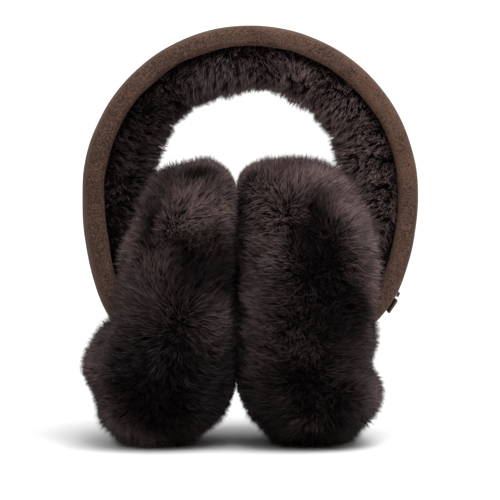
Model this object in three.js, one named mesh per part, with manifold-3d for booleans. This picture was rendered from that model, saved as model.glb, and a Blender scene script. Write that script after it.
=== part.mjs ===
// Sheepskin earmuffs, standing on their two ear cups. Millimetres, +Z up, -Y to the front.
// The origin is on the floor, under the middle of the headband. Left is -X and right is +X.
import * as THREE from "three";
import { mergeVertices } from "three/addons/utils/BufferGeometryUtils.js";
import Module from "manifold-3d";

const wasm = await Module();
wasm.setup();

// ---------- driving dimensions ----------
const GAP = 0.4; // free space between pieces that are sewn or pressed together
const DEGREE = Math.PI / 180;

const ARCH_CENTRE_Z = 109.1; // centre of the headband's half circle
const ARCH_RADIUS = 73.2; // outer face of the headband
const TUCK_RADIUS = 45; // tighter bend of each end, tucked into its ear cup
const TUCK_LENGTH = 23.6; // of the right end
// Below the half circle each side turns inwards in flatter stretches, and the rest of it is the tuck.
const SHOULDERS = {
  left: [
    { radius: 150, turn: 13 * DEGREE },
    { radius: 80, turn: 11 * DEGREE },
  ],
  right: [{ radius: 110, turn: 21 * DEGREE }],
};
const BAND_THICKNESS = 9; // padded edge, from outer face to seam
const SUEDE_WALL = 1.8;
const LIP = 5; // suede turned in over the lining's edge at the seam
const EDGE_ROUND = 3.2;
const CROWN = 1; // how far the outer face is domed across its width

const ARCH_LENGTH = ARCH_RADIUS * (Math.PI / 2);
const SHOULDER_LENGTH = SHOULDERS.right[0].radius * SHOULDERS.right[0].turn;
const HALF_LENGTH = ARCH_LENGTH + SHOULDER_LENGTH + TUCK_LENGTH;
const LINING_HALF_LENGTH = HALF_LENGTH - TUCK_LENGTH + 5;

// Headband along its length: at is -1 at the left end, 0 on top and 1 at the right end.
// width is front to back, and twist turns the outer face towards the front, in degrees.
const BAND_ROWS = [
  { at: -1.0, width: 24, twist: 7 },
  { at: -0.7, width: 31, twist: 6 },
  { at: -0.35, width: 39, twist: 2 },
  { at: 0.0, width: 42, twist: 0 },
  { at: 0.35, width: 39, twist: 0 },
  { at: 0.7, width: 31, twist: 0 },
  { at: 1.0, width: 24, twist: 0 },
];

// Depth of the lining's pile below the seam, along the same length. It thins where the cups press on it.
const PILE_ROWS = [
  { at: -0.9, pile: 1 },
  { at: -0.78, pile: 8 },
  { at: -0.66, pile: 16 },
  { at: -0.52, pile: 19 },
  { at: -0.26, pile: 19 },
  { at: 0.0, pile: 18 },
  { at: 0.26, pile: 18 },
  { at: 0.52, pile: 20.5 },
  { at: 0.66, pile: 15.5 },
  { at: 0.78, pile: 7 },
  { at: 0.9, pile: 1 },
];
const PILE_WAVE = 0.8; // the pile stands in soft clumps
const PILE_WAVE_LENGTH = 27;

// Outlines of the ear cups from the front, by height: the side that meets the other cup, and the
// side away from it, where the fur swells below the headband's end.
const LEFT_CUP_ROWS = [
  { z: 0, inner: -33, outer: -48 },
  { z: 1.2, inner: -29, outer: -52 },
  { z: 3, inner: -25, outer: -57 },
  { z: 6, inner: -20, outer: -61.5 },
  { z: 10.5, inner: -14.9, outer: -64.4 },
  { z: 16, inner: -10.8, outer: -66.2 },
  { z: 21, inner: -8.1, outer: -66.2 },
  { z: 26, inner: -6.3, outer: -69.2 },
  { z: 31, inner: -6, outer: -72.6 },
  { z: 36, inner: -6, outer: -72.4 },
  { z: 41, inner: -6, outer: -70.4 },
  { z: 46, inner: -6, outer: -66.8 },
  { z: 52, inner: -6, outer: -61 },
  { z: 62, inner: -6, outer: -58 },
  { z: 73, inner: -6, outer: -56 },
  { z: 86, inner: -6, outer: -52.5 },
  { z: 100, inner: -6, outer: -48 },
  { z: 110, inner: -6.3, outer: -43.5 },
  { z: 114.5, inner: -7, outer: -40.5 },
  { z: 118, inner: -9, outer: -36 },
  { z: 121, inner: -12.4, outer: -29 },
  { z: 123, inner: -16.2, outer: -22.5 },
];
const RIGHT_CUP_ROWS = [
  { z: 0, inner: 16, outer: 33 },
  { z: 1.2, inner: 12.5, outer: 38 },
  { z: 3, inner: 9.5, outer: 42.5 },
  { z: 6, inner: 5.6, outer: 47.8 },
  { z: 10, inner: 2.4, outer: 51.6 },
  { z: 14.5, inner: -0.5, outer: 54.6 },
  { z: 20, inner: -3.3, outer: 57 },
  { z: 25, inner: -5.2, outer: 57.2 },
  { z: 29, inner: -5.6, outer: 55.5 },
  { z: 33, inner: -5.6, outer: 51.5 },
  { z: 38, inner: -5.6, outer: 51.8 },
  { z: 43, inner: -5.6, outer: 54 },
  { z: 50, inner: -5.6, outer: 55 },
  { z: 60, inner: -5.6, outer: 54.8 },
  { z: 73, inner: -5.6, outer: 53.3 },
  { z: 86, inner: -5.6, outer: 52 },
  { z: 98, inner: -5.6, outer: 50 },
  { z: 107, inner: -5.6, outer: 46 },
  { z: 113, inner: -5.4, outer: 42 },
  { z: 117, inner: -4.4, outer: 37.8 },
  { z: 120, inner: -2.2, outer: 33.5 },
  { z: 122.4, inner: 1, outer: 28.5 },
  { z: 123.8, inner: 5, outer: 22.5 },
];
// From the side each cup is an oval, sunk into the floor a little so that it rests on a flat.
const CUP_OVAL = { centreZ: 61.5, radiusY: 54, radiusZ: 64.5, squareness: 2.25 };
const CUP_SQUARENESS = 2.7; // how full each level cut is between round (2) and square
const LEVEL_COUNT = 26;
const ROUND_STEPS = 36;

// Furrows in the front fur, each a line with a reach to both sides and a depth.
const FURROWS = [
  { fromX: -42, fromZ: 111, toX: -37, toZ: 70, reach: 7, depth: 3.2 },
  { fromX: -58, fromZ: 50, toX: -40, toZ: 58, reach: 7, depth: 2.4 },
  { fromX: -58, fromZ: 28, toX: -48, toZ: 8, reach: 6, depth: 2 },
  { fromX: 22, fromZ: 100, toX: 36, toZ: 64, reach: 8, depth: 2.6 },
  { fromX: 52, fromZ: 36, toX: 40, toZ: 26, reach: 6, depth: 2.2 },
];

const PLATE = { along: 6.8, across: 13, thick: 1.2, fromEnd: 13.5 };
const STUD = { radius: 1.2, thick: 1, fromPlate: 5.4 };

// ---------- headband's own shape ----------
function table(rows, key, at) {
  const curve = new THREE.CubicInterpolant(
    rows.map((row) => row[at]),
    rows.map((row) => row[key]),
    1,
  );
  const first = rows[0][at];
  const last = rows[rows.length - 1][at];
  return (value) => curve.evaluate(THREE.MathUtils.clamp(value, first, last))[0];
}

const bandWidth = table(BAND_ROWS, "width", "at");
const bandTwist = table(BAND_ROWS, "twist", "at");
const pileDepth = table(PILE_ROWS, "pile", "at");

// The point on the outer face at a distance along the band from its top, and its outward direction.
function bandPoint(along) {
  const side = Math.sign(along) || 1;
  const run = Math.abs(along);
  const bends = [
    { radius: ARCH_RADIUS, turn: Math.PI / 2 },
    ...(side < 0 ? SHOULDERS.left : SHOULDERS.right),
    { radius: TUCK_RADIUS, turn: Infinity },
  ];
  let x = 0;
  let z = ARCH_CENTRE_Z + ARCH_RADIUS;
  let heading = 0;
  let left = run;
  for (const { radius, turn } of bends) {
    const step = Math.min(left / radius, turn);
    x += radius * (Math.sin(heading + step) - Math.sin(heading));
    z += radius * (Math.cos(heading + step) - Math.cos(heading));
    heading += step;
    left = Math.max(0, left - radius * turn);
  }
  return {
    place: new THREE.Vector3(side * x, 0, z),
    out: new THREE.Vector3(side * Math.sin(heading), 0, Math.cos(heading)),
  };
}

// Puts a section point, depth inwards from the outer face and y across the band, into space.
function onBand(along, depth, y) {
  const { place, out } = bandPoint(along);
  const twist = bandTwist(along / HALF_LENGTH) * DEGREE;
  const middle = BAND_THICKNESS / 2;
  const d = middle + (depth - middle) * Math.cos(twist) - y * Math.sin(twist);
  const across = (depth - middle) * Math.sin(twist) + y * Math.cos(twist);
  return place.addScaledVector(out, -d).setY(across);
}

// ---------- closed meshes ----------
function geometryOf(points, faces) {
  const geometry = new THREE.BufferGeometry().setFromPoints(points);
  geometry.setIndex(faces);
  geometry.computeVertexNormals();
  return geometry;
}

// A solid through rings of points with the same count, closed by a flat cap at each end.
function loft(rings, outline) {
  const count = rings[0].length;
  const faces = [];
  for (let i = 0; i + 1 < rings.length; i++) {
    for (let j = 0; j < count; j++) {
      const a = i * count + j;
      const b = i * count + ((j + 1) % count);
      faces.push(a, b, a + count, b, b + count, a + count);
    }
  }
  const last = (rings.length - 1) * count;
  const reversed = THREE.ShapeUtils.isClockWise(outline);
  for (const [a, b, c] of THREE.ShapeUtils.triangulateShape(outline, [])) {
    if (reversed) faces.push(a, b, c, last + a, last + c, last + b);
    else faces.push(a, c, b, last + a, last + b, last + c);
  }
  return geometryOf(rings.flat(), faces);
}

// Sweeps a section along part of the band. section(at) gives points { depth, y } in order.
function sweepBand(from, to, steps, section) {
  const rings = [];
  for (let i = 0; i <= steps; i++) {
    const along = from + ((to - from) * i) / steps;
    const ring = section(along).map((point) => onBand(along, point.depth, point.y));
    rings.push(ring);
  }
  const outline = section(from).map((point) => new THREE.Vector2(point.y, point.depth));
  return outwards(loft(rings, outline));
}

function solidOf(geometry) {
  const bare = geometry.clone();
  bare.deleteAttribute("normal");
  bare.deleteAttribute("uv");
  const merged = mergeVertices(bare, 1e-4);
  const vertProperties = new Float32Array(merged.attributes.position.array);
  const triVerts = new Uint32Array(merged.index.array);
  return new wasm.Manifold(new wasm.Mesh({ numProp: 3, vertProperties, triVerts }));
}

function geometryFrom(solid) {
  const mesh = solid.getMesh();
  const geometry = new THREE.BufferGeometry();
  geometry.setAttribute("position", new THREE.BufferAttribute(mesh.vertProperties, 3));
  geometry.setIndex(new THREE.BufferAttribute(mesh.triVerts, 1));
  geometry.computeVertexNormals();
  return geometry;
}

// Turns the faces round if they point inwards.
function outwards(geometry) {
  if (solidOf(geometry).volume() > 0) return geometry;
  const index = geometry.index.array;
  for (let i = 0; i < index.length; i += 3) [index[i + 1], index[i + 2]] = [index[i + 2], index[i + 1]];
  geometry.computeVertexNormals();
  return geometry;
}

// ---------- suede cover: one strip wrapped round the padded band's outer face and both edges ----------
const COVER_STEPS = 46;
const CORNER_STEPS = 2;

// A quarter round from one direction to the next, in the section's plane.
function corner(centreDepth, centreY, radius, fromAngle) {
  const points = [];
  for (let i = 0; i <= CORNER_STEPS; i++) {
    const angle = (fromAngle + (90 * i) / CORNER_STEPS) * DEGREE;
    points.push({ depth: centreDepth + radius * Math.sin(angle), y: centreY + radius * Math.cos(angle) });
  }
  return points;
}

// Half of the strip's outline at an inset from its outer side, from the seam to the middle of the outer face.
function coverHalf(halfWidth, inset) {
  const round = EDGE_ROUND - inset;
  const y = halfWidth - EDGE_ROUND;
  return [
    { depth: BAND_THICKNESS - inset, y: halfWidth - LIP },
    ...corner(BAND_THICKNESS - EDGE_ROUND, y, round, 0).reverse(),
    ...corner(EDGE_ROUND + CROWN, y, round, -90).reverse(),
    { depth: inset + CROWN * 0.25, y: halfWidth * 0.42 },
  ];
}

function coverSection(along) {
  const halfWidth = bandWidth(along / HALF_LENGTH) / 2;
  const mirrored = (points) => points.map(({ depth, y }) => ({ depth, y: -y })).reverse();
  const outer = coverHalf(halfWidth, 0);
  const inner = coverHalf(halfWidth, SUEDE_WALL);
  return [
    ...outer,
    { depth: 0, y: 0 },
    ...mirrored(outer),
    ...inner.map(({ depth, y }) => ({ depth, y: -y })),
    { depth: SUEDE_WALL, y: 0 },
    ...inner.slice().reverse(),
  ];
}

// ---------- shearling lining: fills the suede strip and stands out of it as deep pile ----------
const LINING_STEPS = 42;
const PILE_STEPS = 8;

function liningSection(along) {
  const at = along / HALF_LENGTH;
  const halfWidth = bandWidth(at) / 2;
  const inside = halfWidth - SUEDE_WALL - GAP;
  const neck = halfWidth - LIP - GAP;
  const wave = PILE_WAVE * Math.sin((2 * Math.PI * along) / PILE_WAVE_LENGTH);
  const pile = pileDepth(at) + wave;
  const backDepth = SUEDE_WALL + GAP + CROWN;
  const lipDepth = BAND_THICKNESS - SUEDE_WALL - GAP;
  const seamDepth = BAND_THICKNESS + GAP;
  const half = [
    { depth: backDepth, y: inside - EDGE_ROUND },
    { depth: backDepth + EDGE_ROUND * 0.7, y: inside },
    { depth: lipDepth - EDGE_ROUND * 0.3, y: inside },
    { depth: lipDepth, y: neck },
    { depth: seamDepth, y: neck },
  ];
  const pileHalfWidth = halfWidth - EDGE_ROUND * 0.6;
  const crown = [];
  for (let i = 0; i <= PILE_STEPS; i++) {
    const angle = (Math.PI * i) / PILE_STEPS;
    const full = Math.sign(Math.cos(angle)) * Math.abs(Math.cos(angle)) ** 0.75;
    crown.push({
      depth: seamDepth + 0.6 + pile * Math.abs(Math.sin(angle)) ** 0.7,
      y: pileHalfWidth * full,
    });
  }
  const mirrored = half.map(({ depth, y }) => ({ depth, y: -y })).reverse();
  return [...half, ...crown, ...mirrored];
}

// ---------- ear cups: thick discs with fur all over ----------
function furrowDepth(x, z) {
  let depth = 0;
  for (const furrow of FURROWS) {
    const from = new THREE.Vector2(furrow.fromX, furrow.fromZ);
    const line = new THREE.Vector2(furrow.toX, furrow.toZ).sub(from);
    const spot = new THREE.Vector2(x, z).sub(from);
    const share = THREE.MathUtils.clamp(spot.dot(line) / line.lengthSq(), 0, 1);
    const away = spot.sub(line.multiplyScalar(share)).length() / furrow.reach;
    depth += furrow.depth * Math.exp(-away * away);
  }
  return depth;
}

// One cup as level cuts stacked from the floor up, closed by the flat it rests on and a small top.
function cupSolid(rows) {
  const inner = table(rows, "inner", "z");
  const outer = table(rows, "outer", "z");
  const height = rows[rows.length - 1].z;
  const power = 2 / CUP_SQUARENESS;
  const signed = (value) => Math.sign(value) * Math.abs(value) ** power;
  const rings = [];
  for (let i = 0; i <= LEVEL_COUNT; i++) {
    const z = height * (0.5 - 0.5 * Math.cos((Math.PI * i) / LEVEL_COUNT));
    const rise = Math.abs(z - CUP_OVAL.centreZ) / CUP_OVAL.radiusZ;
    const halfY = CUP_OVAL.radiusY * (1 - rise ** CUP_OVAL.squareness) ** (1 / CUP_OVAL.squareness);
    const middle = (inner(z) + outer(z)) / 2;
    const halfX = Math.abs(inner(z) - outer(z)) / 2;
    const ring = [];
    for (let j = 0; j < ROUND_STEPS; j++) {
      const angle = (2 * Math.PI * j) / ROUND_STEPS;
      const x = middle + halfX * signed(Math.cos(angle));
      const y = halfY * signed(Math.sin(angle));
      const front = THREE.MathUtils.smoothstep(-y / halfY, 0.1, 0.7);
      const low = THREE.MathUtils.smoothstep(z, 0, 6);
      ring.push(new THREE.Vector3(x, y + front * low * furrowDepth(x, z), z));
    }
    rings.push(ring);
  }
  const outline = rings[0].map(({ x, y }) => new THREE.Vector2(x, y));
  return solidOf(outwards(loft(rings, outline)));
}

// The room that the headband takes, a gap larger all round, which the cups leave free.
function bandRoom(halfLength, depth) {
  const section = (along) => {
    const halfWidth = bandWidth(along / HALF_LENGTH) / 2 + GAP;
    const bottom = depth(along / HALF_LENGTH) + GAP;
    return [
      { depth: -GAP, y: halfWidth },
      { depth: bottom, y: halfWidth },
      { depth: bottom, y: -halfWidth },
      { depth: -GAP, y: -halfWidth },
    ];
  };
  return solidOf(sweepBand(-halfLength, halfLength, COVER_STEPS, section));
}

const coverRoom = bandRoom(HALF_LENGTH + GAP, () => BAND_THICKNESS);
const liningRoom = bandRoom(
  LINING_HALF_LENGTH + GAP,
  (at) => BAND_THICKNESS + GAP + 0.6 + pileDepth(at) + PILE_WAVE,
);

// Cuts the headband's room out of a cup.
function earCup(rows) {
  const cut = cupSolid(rows).subtract(coverRoom).subtract(liningRoom);
  const largest = cut.decompose().sort((a, b) => b.volume() - a.volume())[0];
  return geometryFrom(largest);
}

// ---------- small metal plate and stud on the outer face, near the right end ----------
function roundedPlate(length, width, thick, round) {
  const x = length / 2;
  const y = width / 2;
  const shape = new THREE.Shape();
  shape.moveTo(-x + round, -y);
  shape.lineTo(x - round, -y).absarc(x - round, -y + round, round, -Math.PI / 2, 0);
  shape.lineTo(x, y - round).absarc(x - round, y - round, round, 0, Math.PI / 2);
  shape.lineTo(-x + round, y).absarc(-x + round, y - round, round, Math.PI / 2, Math.PI);
  shape.lineTo(-x, -y + round).absarc(-x + round, -y + round, round, Math.PI, 1.5 * Math.PI);
  const bevel = 0.25;
  return new THREE.ExtrudeGeometry(shape, {
    depth: thick - 2 * bevel,
    bevelThickness: bevel,
    bevelSize: bevel,
    bevelOffset: -bevel,
    bevelSegments: 1,
    curveSegments: 5,
  }).translate(0, 0, bevel);
}

// Lays a flat piece on the outer face: its x runs along the band, its y across and its z outwards.
function layOnBand(mesh, along) {
  const { place, out } = bandPoint(along);
  const across = new THREE.Vector3(0, 1, 0);
  const down = new THREE.Vector3().crossVectors(across, out);
  mesh.matrix.makeBasis(down, across, out);
  mesh.matrix.setPosition(place.addScaledVector(out, GAP));
  mesh.matrix.decompose(mesh.position, mesh.quaternion, mesh.scale);
}

// ---------- materials ----------
const suede = new THREE.MeshStandardMaterial({ color: "#5f4a3f", roughness: 0.95, metalness: 0 });
const shearling = new THREE.MeshStandardMaterial({ color: "#33292a", roughness: 0.9, metalness: 0 });
const gunmetal = new THREE.MeshStandardMaterial({ color: "#3b352f", roughness: 0.4, metalness: 1 });

function piece(name, geometry, material) {
  const mesh = new THREE.Mesh(geometry, material);
  mesh.name = name;
  return mesh;
}

// ---------- assembly ----------
const headband = new THREE.Group();
const coverGeometry = sweepBand(-HALF_LENGTH, HALF_LENGTH, COVER_STEPS, coverSection);
const liningGeometry = sweepBand(-LINING_HALF_LENGTH, LINING_HALF_LENGTH, LINING_STEPS, liningSection);
headband.add(piece("headband_cover", coverGeometry, suede));
headband.add(piece("headband_lining", liningGeometry, shearling));

const plateAt = HALF_LENGTH - PLATE.fromEnd;
const plate = piece("badge_plate", roundedPlate(PLATE.along, PLATE.across, PLATE.thick, 1.2), gunmetal);
layOnBand(plate, plateAt);
const stud = piece(
  "badge_stud",
  new THREE.CylinderGeometry(STUD.radius * 0.8, STUD.radius, STUD.thick, 16)
    .rotateX(Math.PI / 2)
    .translate(0, 0, STUD.thick / 2),
  gunmetal,
);
layOnBand(stud, plateAt - STUD.fromPlate);
headband.add(plate, stud);

const cups = new THREE.Group();
cups.add(piece("ear_cup_left", earCup(LEFT_CUP_ROWS), shearling));
cups.add(piece("ear_cup_right", earCup(RIGHT_CUP_ROWS), shearling));

const earmuffs = new THREE.Group();
earmuffs.add(headband, cups);

export default earmuffs;
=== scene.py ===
"""Sheepskin earmuffs: a suede headband lined with deep fur, and two fur ear cups that it stands on."""

import math

import bmesh
import bpy
import numpy as np
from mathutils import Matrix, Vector, noise
from mathutils.bvhtree import BVHTree


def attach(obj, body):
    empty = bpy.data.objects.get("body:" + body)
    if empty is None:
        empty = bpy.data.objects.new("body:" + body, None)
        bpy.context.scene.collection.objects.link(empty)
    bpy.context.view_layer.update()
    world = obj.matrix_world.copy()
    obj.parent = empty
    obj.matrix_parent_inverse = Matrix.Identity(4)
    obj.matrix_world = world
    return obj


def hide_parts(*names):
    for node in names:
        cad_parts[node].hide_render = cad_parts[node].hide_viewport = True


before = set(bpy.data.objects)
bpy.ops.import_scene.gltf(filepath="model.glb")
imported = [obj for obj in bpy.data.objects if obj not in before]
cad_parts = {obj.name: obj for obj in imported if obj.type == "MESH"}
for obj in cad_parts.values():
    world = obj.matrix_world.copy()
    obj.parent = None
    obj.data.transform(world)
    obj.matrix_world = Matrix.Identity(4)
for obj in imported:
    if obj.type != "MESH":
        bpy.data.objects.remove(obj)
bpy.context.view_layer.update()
scene = bpy.context.scene
MM = 0.001


# ---------------------------------------------------------------------------------------------
# Studio. The pair stands on a seamless pale table under one broad soft light from above, and a
# long lens looks at it from the front, a little higher than its middle.
# ---------------------------------------------------------------------------------------------
CAMERA_DISTANCE = 1300 * MM
CAMERA_ELEVATION = math.radians(3.0)
FRAME_WIDTH = 215 * MM
SENSOR_WIDTH = 36.0
AIM = Vector((0, -21 * MM, 85.6 * MM))
TABLE_SIZE = 1.4
TABLE_COLOUR = "#d8d8d8"
SKY_HORIZON = 0.18
SKY_ZENITH = 2.0
SKY_FRONT = 1.15
SKY_BACK = 0.4
BACKDROP_WHITE = 1.1


def linear(hex_colour):
    """An sRGB hex value as a linear colour with alpha."""
    channels = [int(hex_colour[i : i + 2], 16) / 255 for i in (1, 3, 5)]
    values = [c / 12.92 if c <= 0.04045 else ((c + 0.055) / 1.055) ** 2.4 for c in channels]
    return (*values, 1.0)


def add(tree, kind, inputs=None, **settings):
    """Adds a node, sets it up, and links or fills its inputs."""
    node = tree.nodes.new(kind)
    for name, value in settings.items():
        setattr(node, name, value)
    for key, value in (inputs or {}).items():
        if isinstance(value, bpy.types.NodeSocket):
            tree.links.new(value, node.inputs[key])
        else:
            node.inputs[key].default_value = value
    return node


def new_material(name):
    """An empty node material and its shader, linked to the output."""
    material = bpy.data.materials.new(name)
    material.use_nodes = True
    tree = material.node_tree
    tree.nodes.clear()
    shader = add(tree, "ShaderNodeBsdfPrincipled")
    add(tree, "ShaderNodeOutputMaterial", {"Surface": shader.outputs["BSDF"]})
    return material, tree, shader


def new_object(name, mesh):
    piece = bpy.data.objects.new(name, mesh)
    scene.collection.objects.link(piece)
    return piece


camera_data = bpy.data.cameras.new("camera")
camera_data.sensor_width = SENSOR_WIDTH
camera_data.lens = SENSOR_WIDTH * CAMERA_DISTANCE / FRAME_WIDTH
camera = bpy.data.objects.new("camera", camera_data)
scene.collection.objects.link(camera)
back = Vector((0, -math.cos(CAMERA_ELEVATION), math.sin(CAMERA_ELEVATION)))
camera.location = AIM + back * CAMERA_DISTANCE
camera.rotation_euler = back.to_track_quat("Z", "Y").to_euler()
camera_data.clip_end = 100.0
scene.camera = camera
scene.view_settings.view_transform = "Standard"

# The sky is dim at the horizon and bright overhead, like a big soft box; the lens sees plain white.
world = bpy.data.worlds.new("studio")
scene.world = world
world.use_nodes = True
sky = world.node_tree
sky.nodes.clear()
direction = add(sky, "ShaderNodeTexCoord")
height = add(sky, "ShaderNodeSeparateXYZ", {0: direction.outputs["Generated"]})
rise = add(
    sky,
    "ShaderNodeMapRange",
    {0: height.outputs["Z"], 1: 0.0, 2: 1.0, 3: SKY_HORIZON, 4: SKY_ZENITH},
)
behind = add(
    sky,
    "ShaderNodeMapRange",
    {0: height.outputs["Y"], 1: -1.0, 2: 1.0, 3: SKY_FRONT, 4: SKY_BACK},
)
glow = add(
    sky, "ShaderNodeMath", {0: rise.outputs[0], 1: behind.outputs[0]}, operation="MULTIPLY"
)
soft_light = add(sky, "ShaderNodeBackground", {"Strength": glow.outputs[0]})
backdrop = add(sky, "ShaderNodeBackground", {"Strength": BACKDROP_WHITE})
for background in (soft_light, backdrop):
    background.inputs["Color"].default_value = (1, 1, 1, 1)
ray = add(sky, "ShaderNodeLightPath")
both = add(
    sky,
    "ShaderNodeMixShader",
    {0: ray.outputs["Is Camera Ray"], 1: soft_light.outputs[0], 2: backdrop.outputs[0]},
)
add(sky, "ShaderNodeOutputWorld", {0: both.outputs[0]})

LIGHTS = (
    # name, watts, square side in m, place in m
    ("overhead_softbox", 23.0, 0.9, (0.25, -0.5, 1.18)),
    ("back_strip", 0.6, 0.6, (0.1, 1.1, 0.7)),
)
for name, watts, side, place in LIGHTS:
    light_data = bpy.data.lights.new(name, "AREA")
    light_data.energy = watts
    light_data.size = side
    light = bpy.data.objects.new(name, light_data)
    light.location = place
    light.rotation_euler = (Vector(place) - AIM).to_track_quat("Z", "Y").to_euler()
    scene.collection.objects.link(light)

table_mesh = bpy.data.meshes.new("table")
half = TABLE_SIZE / 2
table_corners = [(-half, -half, 0), (half, -half, 0), (half, half, 0), (-half, half, 0)]
table_mesh.from_pydata(table_corners, [], [(0, 1, 2, 3)])
table = new_object("table", table_mesh)
paper, paper_tree, paper_shader = new_material("matt white paper")
paper_shader.inputs["Base Color"].default_value = linear(TABLE_COLOUR)
paper_shader.inputs["Roughness"].default_value = 0.9
table_mesh.materials.append(paper)


# ---------------------------------------------------------------------------------------------
# Headband cover. One strip of brown suede is wrapped round the padded band, over its outer face
# and both long edges, and turned in under the fur lining at the seam. The ends go into the cups.
# ---------------------------------------------------------------------------------------------
ARCH_CENTRE_Z = 109.1 * MM
ARCH_RADIUS = 73.2 * MM
TUCK_RADIUS = 45 * MM
TUCK_LENGTH = 23.6 * MM
SHOULDERS = {
    # radius and turn of each stretch between the half circle and the end tucked into a cup
    "left": ((150 * MM, math.radians(13)), (80 * MM, math.radians(11))),
    "right": ((110 * MM, math.radians(21)),),
}
HALF_LENGTH = ARCH_RADIUS * math.pi / 2 + TUCK_LENGTH
HALF_LENGTH += SHOULDERS["right"][0][0] * SHOULDERS["right"][0][1]
BAND_ROWS = (
    # share of the half length, front-to-back width in mm, twist of the outer face in degrees
    (-1.0, 24, 7),
    (-0.7, 31, 6),
    (-0.35, 39, 2),
    (0.0, 42, 0),
    (0.35, 39, 0),
    (0.7, 31, 0),
    (1.0, 24, 0),
)
BAND_THICKNESS = 9 * MM
SUEDE_WALL = 1.8 * MM
LIP = 5 * MM
EDGE_ROUND = 2.6 * MM
CROWN = 1.0 * MM
COVER_STEPS = 200
CORNER_STEPS = 6
PUFF = 0.22 * MM
SEAM_WAVE = 0.45 * MM


def smooth_rows(rows, column):
    """A smooth curve through one column of a table, against its first column."""
    at = np.array([row[0] for row in rows], float)
    value = np.array([row[column] for row in rows], float)
    slope = np.gradient(value, at)

    def read(x):
        x = min(max(x, at[0]), at[-1])
        i = min(int(np.searchsorted(at, x, side="right")) - 1, len(at) - 2)
        span = at[i + 1] - at[i]
        t = (x - at[i]) / span
        rise_in = slope[i] * span
        rise_out = slope[i + 1] * span
        return (
            value[i] * (2 * t**3 - 3 * t**2 + 1)
            + rise_in * (t**3 - 2 * t**2 + t)
            + value[i + 1] * (3 * t**2 - 2 * t**3)
            + rise_out * (t**3 - t**2)
        )

    return read


band_width = smooth_rows(BAND_ROWS, 1)
band_twist = smooth_rows(BAND_ROWS, 2)


def band_point(along):
    """The outer face's middle line at a distance from the crown, and its outward direction."""
    side = -1 if along < 0 else 1
    shoulder = SHOULDERS["left"] if along < 0 else SHOULDERS["right"]
    bends = ((ARCH_RADIUS, math.pi / 2), *shoulder, (TUCK_RADIUS, math.inf))
    left = abs(along)
    x, z, heading = 0.0, ARCH_CENTRE_Z + ARCH_RADIUS, 0.0
    for radius, turn in bends:
        step = min(left / radius, turn)
        x += radius * (math.sin(heading + step) - math.sin(heading))
        z += radius * (math.cos(heading + step) - math.cos(heading))
        heading += step
        left = max(0.0, left - radius * turn)
    return Vector((side * x, 0, z)), Vector((side * math.sin(heading), 0, math.cos(heading)))


def on_band(along, depth, y):
    """Puts a section point, depth inwards from the outer face and y across, into space."""
    place, out = band_point(along)
    twist = math.radians(band_twist(along / HALF_LENGTH))
    middle = BAND_THICKNESS / 2
    inward = middle + (depth - middle) * math.cos(twist) - y * math.sin(twist)
    across = (depth - middle) * math.sin(twist) + y * math.cos(twist)
    spot = place - out * inward
    return Vector((spot.x, across, spot.z))


def quarter(centre_depth, centre_y, radius, start):
    points = []
    for i in range(CORNER_STEPS + 1):
        angle = start + (math.pi / 2) * i / CORNER_STEPS
        points.append((centre_depth + radius * math.sin(angle), centre_y + radius * math.cos(angle)))
    return points


def cover_half(half_width, inset):
    """Half of the strip's section, from the seam to near the middle of the outer face."""
    radius = EDGE_ROUND - inset
    y = half_width - EDGE_ROUND
    points = [(BAND_THICKNESS - inset, half_width - LIP)]
    points += [(BAND_THICKNESS - inset, half_width - (LIP + EDGE_ROUND) / 2)]
    points += quarter(BAND_THICKNESS - EDGE_ROUND, y, radius, 0)[::-1]
    points += quarter(EDGE_ROUND + CROWN, y, radius, -math.pi / 2)[::-1]
    for share in (0.72, 0.5, 0.25):
        points.append((inset + CROWN * share**2, half_width * share))
    return points


def cover_section(along):
    half_width = band_width(along / HALF_LENGTH) * MM / 2
    outer = cover_half(half_width, 0)
    inner = cover_half(half_width, SUEDE_WALL)
    ring = outer + [(0, 0)] + [(d, -y) for d, y in outer[::-1]]
    ring += [(d, -y) for d, y in inner] + [(SUEDE_WALL, 0)] + inner[::-1]
    return ring


def loft(name, rings):
    """A closed mesh through rings with the same count, capped at both ends."""
    count = len(rings[0])
    points = [point for ring in rings for point in ring]
    faces = []
    for i in range(len(rings) - 1):
        for j in range(count):
            a, b = i * count + j, i * count + (j + 1) % count
            faces.append((a, a + count, b + count, b))
    faces.append(tuple(range(count)))
    faces.append(tuple(range((len(rings) - 1) * count, len(rings) * count))[::-1])
    mesh = bpy.data.meshes.new(name)
    mesh.from_pydata(points, [], faces)
    shape = bmesh.new()
    shape.from_mesh(mesh)
    bmesh.ops.recalc_face_normals(shape, faces=shape.faces)
    for face in shape.faces:
        face.smooth = True
    shape.to_mesh(mesh)
    shape.free()
    return mesh


cover_rings = []
for i in range(COVER_STEPS + 1):
    along = HALF_LENGTH * (2 * i / COVER_STEPS - 1)
    ring = []
    wave = SEAM_WAVE * noise.noise(Vector((along * 70, 3.1, 0)))
    for depth, y in cover_section(along):
        near_seam = max(0.0, (depth - BAND_THICKNESS * 0.75) / (BAND_THICKNESS * 0.25))
        point = on_band(along, depth + wave * near_seam, y)
        puff = PUFF * noise.noise(point * 75)
        ring.append(point - band_point(along)[1] * puff)
    cover_rings.append(ring)
cover = new_object("headband_suede", loft("headband_suede", cover_rings))

# Brushed suede: a matt brown hide with a short nap that scatters light at its edges. The grain
# is the nap's clumping, drawn 0.7 mm wide so that it shows, over blotches a centimetre wide.
SUEDE_DARK = "#2b1e18"
SUEDE_LIGHT = "#513b30"
SUEDE_NAP = "#a5836c"
GRAIN_WIDTH = 0.7 * MM
BLOTCH_WIDTH = 11 * MM

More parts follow.
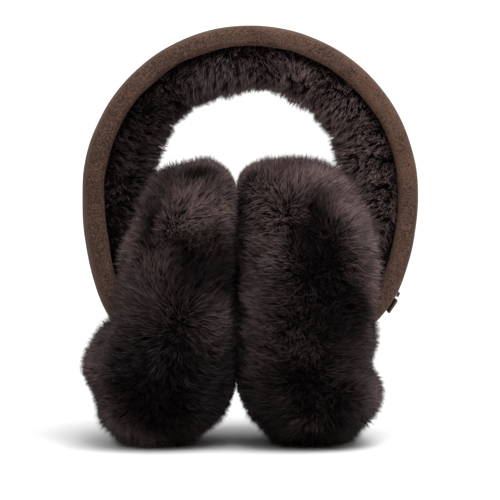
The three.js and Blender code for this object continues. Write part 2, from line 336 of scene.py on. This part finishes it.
suede, tree, shader = new_material("brushed brown suede")
place = add(tree, "ShaderNodeTexCoord").outputs["Object"]
grain = add(
    tree, "ShaderNodeTexNoise", {"Vector": place, "Scale": 1 / GRAIN_WIDTH, "Detail": 3.0}
)
blotch = add(
    tree, "ShaderNodeTexNoise", {"Vector": place, "Scale": 1 / BLOTCH_WIDTH, "Detail": 2.0}
)
mixed = add(
    tree,
    "ShaderNodeMix",
    {0: 0.2, 2: grain.outputs[0], 3: blotch.outputs[0]},
    data_type="FLOAT",
)
# Painted light: the suede is painted lighter towards the right of the band and darker towards the left, standing
# in for light that falls from the right.
across = add(tree, "ShaderNodeSeparateXYZ", {0: place})
painted_side_light = add(
    tree,
    "ShaderNodeMapRange",
    {0: across.outputs["X"], 1: -ARCH_RADIUS, 2: ARCH_RADIUS, 3: -0.022, 4: 0.032},
)
shifted = add(
    tree, "ShaderNodeMath", {0: mixed.outputs[0], 1: painted_side_light.outputs[0]}, operation="ADD"
)
spread = add(
    tree, "ShaderNodeMapRange", {0: shifted.outputs[0], 1: 0.42, 2: 0.58, 3: 0.0, 4: 1.0}
)
tint = add(
    tree,
    "ShaderNodeMix",
    {0: spread.outputs[0], 6: linear(SUEDE_DARK), 7: linear(SUEDE_LIGHT)},
    data_type="RGBA",
)
tree.links.new(tint.outputs[2], shader.inputs["Base Color"])
nap = add(
    tree,
    "ShaderNodeBump",
    {"Height": grain.outputs[0], "Distance": 0.25 * MM, "Strength": 0.6},
)
tree.links.new(nap.outputs[0], shader.inputs["Normal"])
shader.inputs["Roughness"].default_value = 0.95
shader.inputs["Specular IOR Level"].default_value = 0.2
shader.inputs["Sheen Weight"].default_value = 0.1
shader.inputs["Sheen Roughness"].default_value = 0.4
shader.inputs["Sheen Tint"].default_value = linear(SUEDE_NAP)
cover.data.materials.append(suede)
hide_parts("headband_cover")
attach(cover, "root")


# ---------------------------------------------------------------------------------------------
# Fur lining. Deep dyed sheepskin fills the inside of the arch, glued and sewn in behind the
# suede's turned edge. It is a skin with dense fur standing on it, combed in towards the head.
# ---------------------------------------------------------------------------------------------
SKIN_VOXEL = 2.6 * MM
SKIN_STEP = 1.0 * MM
STRAND_MIDDLE = 0.55
STRAND_BEND = 0.22
SOFT_OVERLAP = 1.2 * MM
TRIANGLES_PER_STRAND = 3
TABLE_CLEARANCE = 0.25 * MM
PRESSED_WITHIN = 14 * MM
PRESSED_SHARE = 0.25
LUMP_HEIGHT = 1.6
LUMP_WIDTH = 17 * MM
CLUMP_SHARE = 0.35
CLUMP_WIDTH = 6 * MM
WANDER_SEED = 3
LINING_INSET = 4
LINING_FUR = 6 * MM


noise.seed_set(WANDER_SEED)


def evaluated_mesh(piece, name):
    """The piece's mesh with its modifiers applied, as a new mesh."""
    bpy.context.view_layer.update()
    live = piece.evaluated_get(bpy.context.evaluated_depsgraph_get())
    mesh = bpy.data.meshes.new_from_object(live)
    mesh.name = name
    return mesh


def relief_and_painted_light_at(marks, x, z, column):
    """How much the marks raise (column 5) the front at a place, in mm, or lighten it (column 6), which is
    painted light and shade on the fur tips.
    """
    total = 0.0
    for mark in marks:
        start, end, reach = Vector(mark[0:2]), Vector(mark[2:4]), mark[4]
        line = end - start
        spot = Vector((x, z)) - start
        share = spot.dot(line) / line.length_squared if line.length_squared else 0.0
        away = (spot - line * min(max(share, 0.0), 1.0)).length / reach
        total += mark[column] * math.exp(-away * away)
    return total


def pressed_share(place, others):
    """How much of its full depth the fur keeps at a place: little close to a cup or the table."""
    away = min(PRESSED_WITHIN, place.z * 4)
    for other in others:
        nearest = other.find_nearest(place, PRESSED_WITHIN)
        if nearest[3] is not None:
            away = min(away, nearest[3])
    return PRESSED_SHARE + (1 - PRESSED_SHARE) * away / PRESSED_WITHIN


def skin_under(node, name, steps, pressed_on=(), marks=()):
    """The skin under a fur solid: its even remesh, drawn in and smoothed step by step.

    It is drawn in less where the fur is pressed flat, against the table or another piece."""
    others = [tree_of(other) for other in pressed_on]
    rough = new_object(name + "_rough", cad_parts[node].data.copy())
    rough.data.materials.clear()
    shape = bmesh.new()
    shape.from_mesh(rough.data)
    bmesh.ops.remove_doubles(shape, verts=shape.verts, dist=0.01 * MM)
    shape.to_mesh(rough.data)
    shape.free()
    remesh = rough.modifiers.new("remesh", "REMESH")
    remesh.mode = "VOXEL"
    remesh.voxel_size = SKIN_VOXEL
    mesh = evaluated_mesh(rough, name)
    bpy.data.objects.remove(rough)
    shape = bmesh.new()
    shape.from_mesh(mesh)
    shares = [pressed_share(vert.co, others) for vert in shape.verts]
    for _ in range(steps):
        shape.normal_update()
        for vert, share in zip(shape.verts, shares):
            vert.co -= vert.normal * SKIN_STEP * share
        bmesh.ops.smooth_vert(
            shape, verts=shape.verts, factor=0.5, use_axis_x=True, use_axis_y=True, use_axis_z=True
        )
    shape.normal_update()
    for vert in shape.verts:
        x, y, z = vert.co / MM
        front = min(max(-vert.normal.y * 2, 0.0), 1.0)
        high = relief_and_painted_light_at(marks, x, z, 5) * front
        high += LUMP_HEIGHT * noise.noise(vert.co / LUMP_WIDTH) * min(1.0, z / LUMP_WIDTH * MM)
        vert.co += vert.normal * high * MM
    for face in shape.faces:
        face.smooth = True
    shape.to_mesh(mesh)
    shape.free()
    return new_object(name, mesh)


def tree_of(node):
    """A CAD node's surface, to find what fur would run into."""
    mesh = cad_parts[node].data
    return BVHTree.FromPolygons([v.co for v in mesh.vertices], [p.vertices for p in mesh.polygons])


def comb_fur(skin, length, comb, tone, hard, soft, pressed_on=()):
    """Writes on the skin which way its fur lies, how long it is, how dense, and how light its tips are, which is
    a tone plus painted light and shade.
    """
    mesh = skin.data
    surfaces = [(tree_of(node), 0.0) for node in hard] + [(tree_of(node), SOFT_OVERLAP) for node in soft]
    others = [tree_of(node) for node in pressed_on]
    lies, reaches, growths, tones_and_painted_light = [], [], [], []
    for vert in mesh.vertices:
        normal = vert.normal.copy()
        wish = comb(vert.co, normal)
        wish -= normal * wish.dot(normal)
        lie = (normal + wish).normalized()
        clump = 1 + CLUMP_SHARE * noise.noise(vert.co / CLUMP_WIDTH)
        reach = length * clump * pressed_share(vert.co, others)
        for surface, extra in surfaces:
            for way in (normal, lie):
                hit = surface.ray_cast(vert.co, way, length * 1.3)
                if hit[3] is not None:
                    reach = min(reach, hit[3] * 0.96 + extra)
        growth = 1.0 if reach > length * 0.2 else 0.0
        if vert.co.z < 4 * MM and normal.z < -0.8:
            growth *= 0.12
        lies.append(lie)
        reaches.append(reach)
        growths.append(growth)
        tones_and_painted_light.append(tone(vert.co, normal))
    attribute = mesh.attributes.new("lie", "FLOAT_VECTOR", "POINT")
    attribute.data.foreach_set("vector", np.array(lies, float).ravel())
    for name, values in (("reach", reaches), ("growth", growths), ("tone", tones_and_painted_light)):
        attribute = mesh.attributes.new(name, "FLOAT", "POINT")
        attribute.data.foreach_set("value", np.array(values, float))


def strand_mesh():
    """One strand, a unit high and wide: a narrow blade that bends over towards +X."""
    rows = ((0.0, 1.0), (STRAND_MIDDLE, 0.8))
    points = []
    for high, wide in rows:
        bend = STRAND_BEND * high**2
        points += [(bend, -wide / 2, high), (bend, wide / 2, high)]
    points.append((STRAND_BEND, 0, 1))
    mesh = bpy.data.meshes.new("strand")
    mesh.from_pydata(points, [], [(0, 1, 3, 2), (2, 3, 4)])
    along = mesh.attributes.new("along", "FLOAT", "POINT")
    along.data.foreach_set("value", [0, 0, STRAND_MIDDLE, STRAND_MIDDLE, 1])
    for polygon in mesh.polygons:
        polygon.use_smooth = True
    return mesh


def fur_tree():
    """Strands scattered over a skin, lying as it says and drawn together into tufts."""
    tree = bpy.data.node_groups.new("sheepskin fur", "GeometryNodeTree")
    sockets = tree.interface
    sockets.new_socket("Geometry", in_out="INPUT", socket_type="NodeSocketGeometry")
    for name in ("Strands per m2", "Strand width", "Shortest", "Longest", "Tuft spacing", "Tuft pull", "Tousle"):
        sockets.new_socket(name, in_out="INPUT", socket_type="NodeSocketFloat")
    sockets.new_socket("Seed", in_out="INPUT", socket_type="NodeSocketInt")
    sockets.new_socket("Strand", in_out="INPUT", socket_type="NodeSocketObject")
    sockets.new_socket("Material", in_out="INPUT", socket_type="NodeSocketMaterial")
    sockets.new_socket("Geometry", in_out="OUTPUT", socket_type="NodeSocketGeometry")
    given = tree.nodes.new("NodeGroupInput").outputs

    def attribute(name, kind="FLOAT"):
        return add(tree, "GeometryNodeInputNamedAttribute", {"Name": name}, data_type=kind).outputs[0]

    def maths(operation, *values):
        return add(tree, "ShaderNodeMath", dict(enumerate(values)), operation=operation).outputs[0]

    def vectors(operation, *values, scale=None):
        inputs = dict(enumerate(values))
        if scale is not None:
            inputs["Scale"] = scale
        return add(tree, "ShaderNodeVectorMath", inputs, operation=operation).outputs[0]

    growth = attribute("growth")
    density = maths("MULTIPLY", given["Strands per m2"], growth)
    roots = add(
        tree,
        "GeometryNodeDistributePointsOnFaces",
        {"Mesh": given["Geometry"], "Density": density, "Seed": given["Seed"]},
    )
    spacing_area = maths("MULTIPLY", given["Tuft spacing"], given["Tuft spacing"])
    tufts = add(
        tree,
        "GeometryNodeDistributePointsOnFaces",
        {
            "Mesh": given["Geometry"],
            "Density": maths("DIVIDE", 1.0, spacing_area),
            "Seed": maths("ADD", given["Seed"], 50.0),
        },
    )
    position = add(tree, "GeometryNodeInputPosition").outputs[0]
    nearest = add(
        tree, "GeometryNodeSampleNearest", {"Geometry": tufts.outputs["Points"], "Sample Position": position}
    )
    tuft_place = add(
        tree,
        "GeometryNodeSampleIndex",
        {"Geometry": tufts.outputs["Points"], "Value": position, "Index": nearest.outputs[0]},
        data_type="FLOAT_VECTOR",
    )
    towards = vectors("SUBTRACT", tuft_place.outputs[0], position)
    pull = maths("DIVIDE", given["Tuft pull"], given["Tuft spacing"])
    drawn = vectors("SCALE", towards, scale=pull)
    shake = add(
        tree,
        "FunctionNodeRandomValue",
        {0: (-1, -1, -1), 1: (1, 1, 1), 8: given["Seed"]},
        data_type="FLOAT_VECTOR",
    )
    tousled = vectors("SCALE", shake.outputs[0], scale=given["Tousle"])
    lie = attribute("lie", "FLOAT_VECTOR")
    way = vectors("ADD", vectors("ADD", lie, drawn), tousled)
    turn = add(
        tree,
        "FunctionNodeRandomValue",
        {0: (-1, -1, -1), 1: (1, 1, 1), 8: maths("ADD", given["Seed"], 7.0)},
        data_type="FLOAT_VECTOR",
    )
    down_hill = vectors("ADD", lie, vectors("SCALE", turn.outputs[0], scale=0.7))
    facing = add(
        tree,
        "FunctionNodeAxesToRotation",
        {0: vectors("NORMALIZE", way), 1: down_hill},
        primary_axis="Z",
        secondary_axis="X",
    )
    chance = add(
        tree,
        "FunctionNodeRandomValue",
        {2: given["Shortest"], 3: given["Longest"], 8: maths("ADD", given["Seed"], 13.0)},
        data_type="FLOAT",
    )
    long = maths("MULTIPLY", attribute("reach"), chance.outputs[1])
    size = add(tree, "ShaderNodeCombineXYZ", {0: long, 1: given["Strand width"], 2: long})
    strand = add(tree, "GeometryNodeObjectInfo", {"Object": given["Strand"]})
    placed = add(
        tree,
        "GeometryNodeInstanceOnPoints",
        {
            "Points": roots.outputs["Points"],
            "Instance": strand.outputs["Geometry"],
            "Rotation": facing.outputs[0],
            "Scale": size.outputs[0],
        },
    )
    hue_chance = add(
        tree,
        "FunctionNodeRandomValue",
        {2: -0.16, 3: 0.16, 8: maths("ADD", given["Seed"], 29.0)},
        data_type="FLOAT",
    )
    shade = add(
        tree, "ShaderNodeMath", {0: attribute("tone"), 1: hue_chance.outputs[1]}, operation="ADD", use_clamp=True
    )
    toned = add(
        tree,
        "GeometryNodeStoreNamedAttribute",
        {"Geometry": placed.outputs[0], "Name": "shade", "Value": shade.outputs[0]},
        data_type="FLOAT",
        domain="INSTANCE",
    )
    real = add(tree, "GeometryNodeRealizeInstances", {"Geometry": toned.outputs[0]})
    lifted = add(
        tree,
        "ShaderNodeVectorMath",
        {0: position, 1: (-1.0, -1.0, TABLE_CLEARANCE)},
        operation="MAXIMUM",
    )
    standing = add(
        tree, "GeometryNodeSetPosition", {"Geometry": real.outputs[0], "Position": lifted.outputs[0]}
    )
    spot = add(tree, "ShaderNodeCombineXYZ", {0: attribute("shade"), 1: attribute("along")})
    mapped = add(
        tree,
        "GeometryNodeStoreNamedAttribute",
        {"Geometry": standing.outputs[0], "Name": "OFBake", "Value": spot.outputs[0]},
        data_type="FLOAT2",
        domain="CORNER",
    )
    dyed = add(
        tree, "GeometryNodeSetMaterial", {"Geometry": mapped.outputs[0], "Material": given["Material"]}
    )
    add(tree, "NodeGroupOutput", {0: dyed.outputs[0]})
    return tree


def grow_fur(skin, name, values):
    """Grows one layer of fur on a combed skin and returns it as a plain mesh object."""
    grower = skin.modifiers.new("fur", "NODES")
    grower.node_group = fur_nodes
    for item in fur_nodes.interface.items_tree:
        if item.in_out == "INPUT" and item.name in values:
            grower[item.identifier] = values[item.name]
    layer = new_object(name, evaluated_mesh(skin, name))
    skin.modifiers.remove(grower)
    return layer


# Dyed sheepskin fur: near-black brown at the root and lighter, greyer and slightly glossy at
# the tip, so that the fur looks deep where it parts and soft where its tips face the light.
# How light a tip is follows the strand's shade, a random tone plus painted light and shade:
# lighter on lit tops and lobes, darker low down, in valleys and where the cups press together.
FUR_ROOT = "#090506"
FUR_DARK_TIP = "#10090b"
FUR_LIGHT_TIP = "#947a79"

fur, tree, shader = new_material("dyed sheepskin fur")
strand_map = add(tree, "ShaderNodeUVMap", uv_map="OFBake").outputs[0]
split = add(tree, "ShaderNodeSeparateXYZ", {0: strand_map})
# The tips' mix from dark to light follows the stored shade, which holds painted light and shade as well as a
# random tone.
tip = add(
    tree,
    "ShaderNodeMix",
    {0: split.outputs[0], 6: linear(FUR_DARK_TIP), 7: linear(FUR_LIGHT_TIP)},
    data_type="RGBA",
)
rise = add(
    tree,
    "ShaderNodeMapRange",
    {0: split.outputs[1], 1: 0.15, 2: 1.0, 3: 0.0, 4: 1.0},
    interpolation_type="SMOOTHSTEP",
)
hair = add(
    tree,
    "ShaderNodeMix",
    {0: rise.outputs[0], 6: linear(FUR_ROOT), 7: tip.outputs[2]},
    data_type="RGBA",
)
tree.links.new(hair.outputs[2], shader.inputs["Base Color"])
shader.inputs["Roughness"].default_value = 0.55
shader.inputs["Specular IOR Level"].default_value = 0.22

# The skin under the fur: the same dye, seen only where the fur parts.
hide, tree, shader = new_material("dyed sheepskin hide")
place = add(tree, "ShaderNodeTexCoord").outputs["Object"]
patches = add(tree, "ShaderNodeTexNoise", {"Vector": place, "Scale": 1 / (3 * MM), "Detail": 2.0})
tint = add(
    tree,
    "ShaderNodeMix",
    {0: patches.outputs[0], 6: linear(FUR_ROOT), 7: linear(FUR_DARK_TIP)},
    data_type="RGBA",
)
tree.links.new(tint.outputs[2], shader.inputs["Base Color"])
shader.inputs["Roughness"].default_value = 0.9
shader.inputs["Specular IOR Level"].default_value = 0.1

strand = new_object("strand", strand_mesh())
fur_nodes = fur_tree()


def towards_head(place, normal):
    """The lining's fur is brushed in from the seam, and wanders."""
    inward = Vector((0, 0, ARCH_CENTRE_Z)) - Vector((place.x, 0, place.z))
    wander = noise.noise_vector(place * 42)
    wander += noise.noise_vector(place * 110) * 0.7
    return (inward.normalized() * 0.5 + wander) * 0.8


def lining_tone_and_painted_light(place, normal):
    patch = noise.noise(place * 55) * 0.5 + noise.noise(place * 140) * 0.3
    # Painted light and shade: the tips are painted lighter towards the right of the arch and darker towards the
    # left, as if lit from the right.
    side = place.x / (70 * MM)
    return min(max(0.46 + side * 0.36 + patch * 0.36, 0.0), 1.0)


both_cups = ["ear_cup_left", "ear_cup_right"]
lining = skin_under("headband_lining", "headband_lining_skin", LINING_INSET, both_cups)
comb_fur(
    lining,
    LINING_FUR,
    towards_head,
    lining_tone_and_painted_light,
    ["headband_cover"],
    both_cups,
)
lining_fur = grow_fur(
    lining,
    "headband_lining_fur",
    {
        "Strands per m2": 3.3e6,
        "Strand width": 0.3 * MM,
        "Shortest": 0.75,
        "Longest": 1.1,
        "Tuft spacing": 3.0 * MM,
        "Tuft pull": 0.36,
        "Tousle": 0.16,
        "Seed": 11,
        "Strand": strand,
        "Material": fur,
    },
)
lining.data.materials.append(hide)
for piece in (lining, lining_fur):
    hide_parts("headband_lining")
    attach(piece, "root")


# ---------------------------------------------------------------------------------------------
# Ear cups. Each is a thick pad of dyed sheepskin with its fur outwards all over, sewn up round
# the headband's end. The two press together in the middle and rest on their flattened lower edges.
# ---------------------------------------------------------------------------------------------
CUP_INSET = 5
CUP_FUR = 7.5 * MM
CUPS = (
    # node, its parting's x and z at the top and at the foot in mm, the other cup, seed
    ("ear_cup_left", -36, 102, -27, 34, "ear_cup_right", 21),
    ("ear_cup_right", 25, 104, 31, 36, "ear_cup_left", 41),
)
PARTING_WIDTH = 14 * MM
# Lobes and partings in the front fur: each line's ends and reach, how far the skin rises along
# it, all in mm, and how much lighter the tips are painted: painted light on lit lobes, painted
# shade in valleys, partings and where the cups press together.
RELIEF_AND_PAINTED_LIGHT_MARKS = {
    "ear_cup_left": (
        # from x, z, to x, z, reach, rise, lighter (painted light and shade)
        (-33, 112, -40, 95, 3.5, -2.5, -0.35),
        (-40, 95, -42, 86, 3.0, -1.5, -0.2),
        (-27, 115, -17, 115, 6.0, -1.2, -0.5),
        (-28, 104, -11, 107, 8.0, 1.8, 0.5),
        (-34, 95, -15, 98, 6.0, 0.8, 0.15),
        (-31, 89, -29, 75, 4.0, -1.5, -0.3),
        (-45, 83, -41, 75, 8.0, 1.5, 0.25),
        (-35, 86, -32, 77, 4.0, 1.0, 0.1),
        (-26, 79, -11, 68, 10.0, -1.5, -0.25),
        (-43, 43, -15, 21, 20.0, 0.0, -0.3),
        (-67, 43, -65, 21, 8.0, 0.0, 0.45),
        (-60, 12, -47, 4, 8.0, 0.0, 0.5),
        # Painted shade along the line where the two cups press together.
        (-5.8, 110, -5.8, 26, 5.0, 0.0, -0.9),
    ),
    "ear_cup_right": (
        (3, 117, 4, 116, 6.0, 1.0, 0.15),
        (11, 116, 32, 113, 9.0, 0.5, 0.5),
        (13, 105, 15, 86, 7.0, 1.2, 0.2),
        (26, 104, 27, 88, 5.0, -3.0, -0.5),
        (27, 88, 37, 64, 8.0, -2.0, -0.4),
        (17, 73, 41, 56, 12.0, 0.0, -0.08),
        (41, 101, 50, 68, 6.0, 1.0, 0.3),
        (32, 109, 33, 108, 3.0, -1.0, -0.3),
        (9, 30, 39, 21, 18.0, 0.0, -0.08),
        (51, 23, 54, 12, 7.0, 0.0, 0.3),
        # Painted shade along the line where the two cups press together.
        (-5.8, 110, -5.8, 26, 5.0, 0.0, -0.9),
    ),
}
LAYERS = (
    # name, strand width in mm, shortest, longest, tuft spacing in mm, tuft pull, tousle
    ("undercoat", 0.36, 0.6, 0.95, 3.4, 0.3, 0.2),
    ("topcoat", 0.26, 0.8, 1.15, 2.3, 0.3, 0.15),
)
CUP_STRANDS = 60000

for node, top_x, top_z, foot_x, foot_z, other_cup, seed in CUPS:
    marks = RELIEF_AND_PAINTED_LIGHT_MARKS[node]
    parting_top = Vector((top_x, 0, top_z)) * MM
    parting_foot = Vector((foot_x, 0, foot_z)) * MM

    def outwards(place, normal):
        """The cup's fur is brushed away from a parting and a little up, and wanders."""
        line = parting_foot - parting_top
        front = Vector((place.x, 0, place.z))
        share = min(max((front - parting_top).dot(line) / line.length_squared, 0.0), 1.0)
        away = front - parting_top - line * share
        strength = min(away.length / PARTING_WIDTH, 1.0)
        away = away.normalized() * strength * 0.28 + Vector((0, 0, 0.35))
        wander = noise.noise_vector(place * 30) * 1.5 + noise.noise_vector(place * 85) * 0.8
        return (away + wander) * 0.72

    def cup_tone_and_painted_light(place, normal):
        # Painted shade: the tips are painted darker towards the bottom of the cup, away from the overhead light;
        # the marks add painted light and shade on the front.
        high = min(max(place.z / (120 * MM), 0.0), 1.0)
        patch = noise.noise(place * 45) * 0.5 + noise.noise(place * 130) * 0.25
        front = min(max(-normal.y * 2, 0.0), 1.0)
        painted_marks_light = relief_and_painted_light_at(marks, place.x / MM, place.z / MM, 6) * front
        return min(max(0.06 + 0.34 * high + patch * 0.35 + painted_marks_light, 0.0), 1.0)

    neighbours = [other_cup, "headband_lining"]
    skin = skin_under(node, node + "_skin", CUP_INSET, neighbours, marks)
    hard = ["headband_cover"]
    soft = ["headband_lining", other_cup]
    comb_fur(skin, CUP_FUR, outwards, cup_tone_and_painted_light, hard, soft, [other_cup])
    area = 0.0
    growth = skin.data.attributes["growth"].data
    for polygon in skin.data.polygons:
        share = sum(growth[i].value for i in polygon.vertices) / len(polygon.vertices)
        area += polygon.area * share
    pieces = [skin]
    for layer, (title, wide, shortest, longest, spacing, pull, tousle) in enumerate(LAYERS):
        pieces.append(
            grow_fur(
                skin,
                f"{node}_{title}",
                {
                    "Strands per m2": CUP_STRANDS / area,
                    "Strand width": wide * MM,
                    "Shortest": shortest,
                    "Longest": longest,
                    "Tuft spacing": spacing * MM,
                    "Tuft pull": pull,
                    "Tousle": tousle,
                    "Seed": seed + layer,
                    "Strand": strand,
                    "Material": fur,
                },
            )
        )
    skin.data.materials.append(hide)
    for piece in pieces:
        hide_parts(node)
        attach(piece, "root")

bpy.data.objects.remove(strand)


# ---------------------------------------------------------------------------------------------
# Plate and stud. A small plain plate and a stud of darkened bronze are riveted to the band's
# outer face, close above the right cup.
# ---------------------------------------------------------------------------------------------
bronze, tree, shader = new_material("darkened bronze")
place = add(tree, "ShaderNodeTexCoord").outputs["Object"]
wear = add(tree, "ShaderNodeTexNoise", {"Vector": place, "Scale": 1 / (1.2 * MM), "Detail": 3.0})
tint = add(
    tree,
    "ShaderNodeMix",
    {0: wear.outputs[0], 6: linear("#2c241e"), 7: linear("#6b5844")},
    data_type="RGBA",
)
tree.links.new(tint.outputs[2], shader.inputs["Base Color"])
rough = add(tree, "ShaderNodeMapRange", {0: wear.outputs[0], 1: 0.3, 2: 0.7, 3: 0.3, 4: 0.5})
tree.links.new(rough.outputs[0], shader.inputs["Roughness"])
shader.inputs["Metallic"].default_value = 1.0
for node in ("badge_plate", "badge_stud"):
    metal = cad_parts[node].data
    metal.materials.clear()
    metal.materials.append(bronze)
